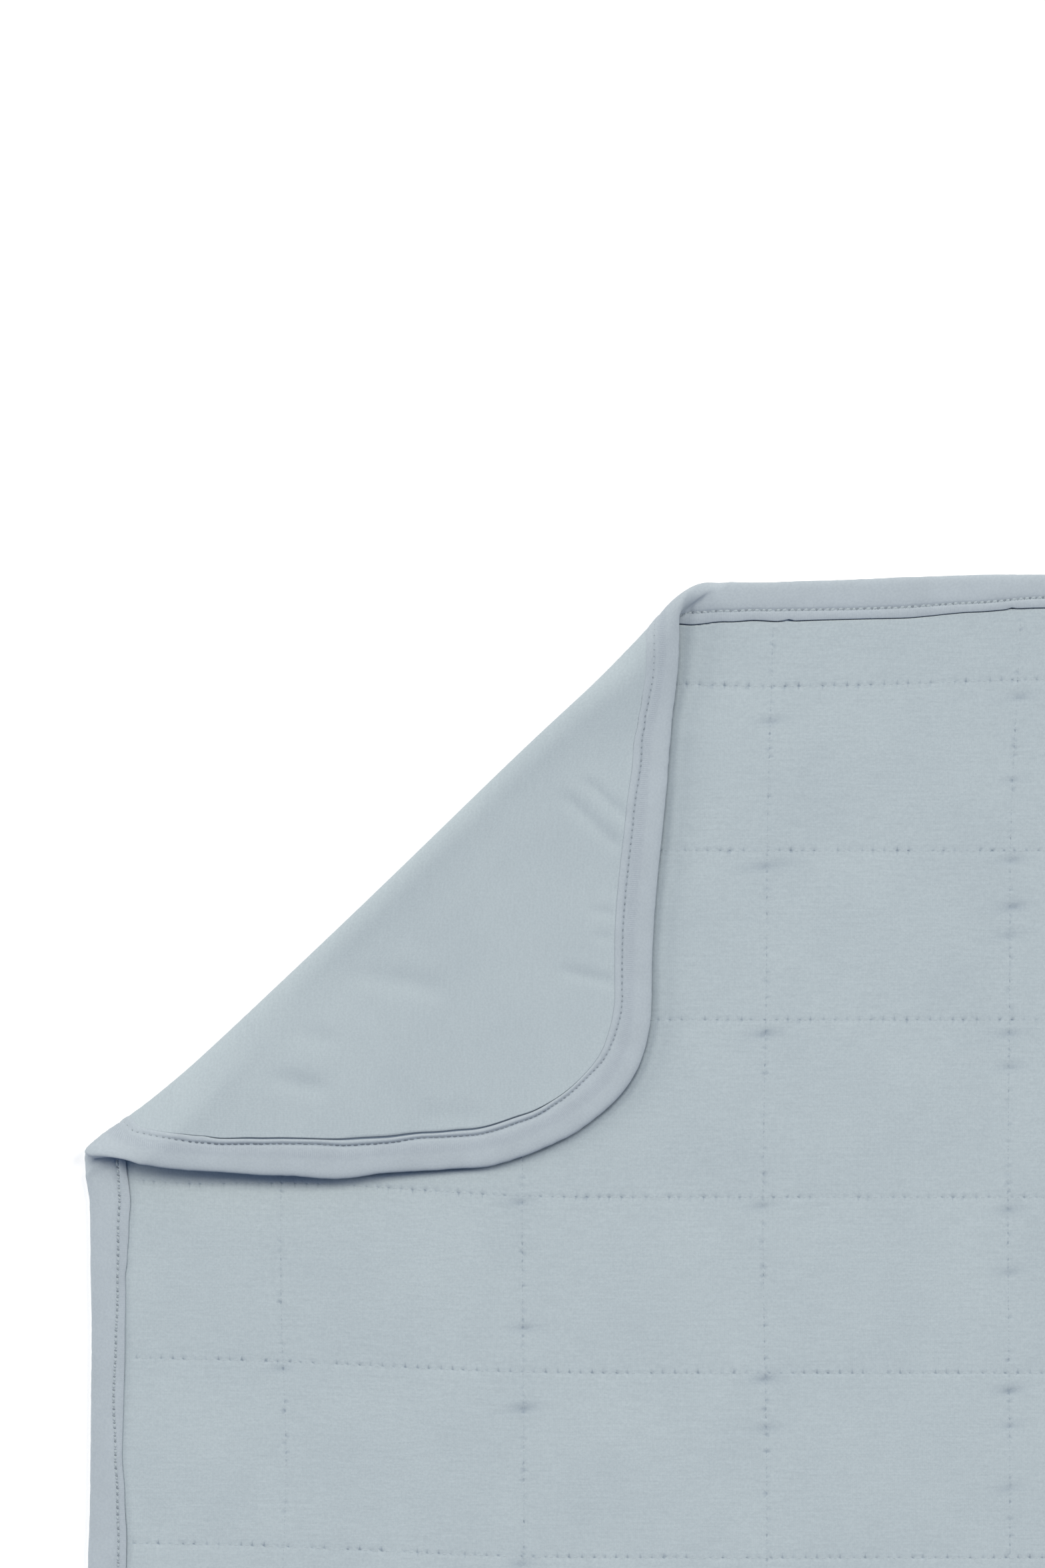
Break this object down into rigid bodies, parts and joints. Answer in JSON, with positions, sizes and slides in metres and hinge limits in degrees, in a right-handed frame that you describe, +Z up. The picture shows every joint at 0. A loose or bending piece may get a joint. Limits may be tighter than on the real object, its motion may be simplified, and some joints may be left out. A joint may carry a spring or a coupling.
{
  "type": "quilted blanket",
  "caption": "Quilted jersey crib blanket with rounded corners and a bound edge, lying flat with a corner folded over to show its plain back.",
  "frame": {"origin": "middle of the blanket, on the surface it lies on", "axes": "+X across the blanket to the right, +Y along its length towards the edge with the folded corner, +Z up"},
  "size_m": [0.75, 1, 0.0183],
  "materials": {
    "quilted_jersey": "matt blue-grey cotton jersey, quilted in a grid of running stitch",
    "plain_jersey": "matt blue-grey cotton jersey, smooth",
    "binding_jersey": "matt blue-grey ribbed jersey, folded round the edge and stitched"
  },
  "bodies": {
    "root": {"quilted_top": "quilted_jersey", "plain_back": "plain_jersey", "edge_binding": "binding_jersey"}
  },
  "joints": []
}
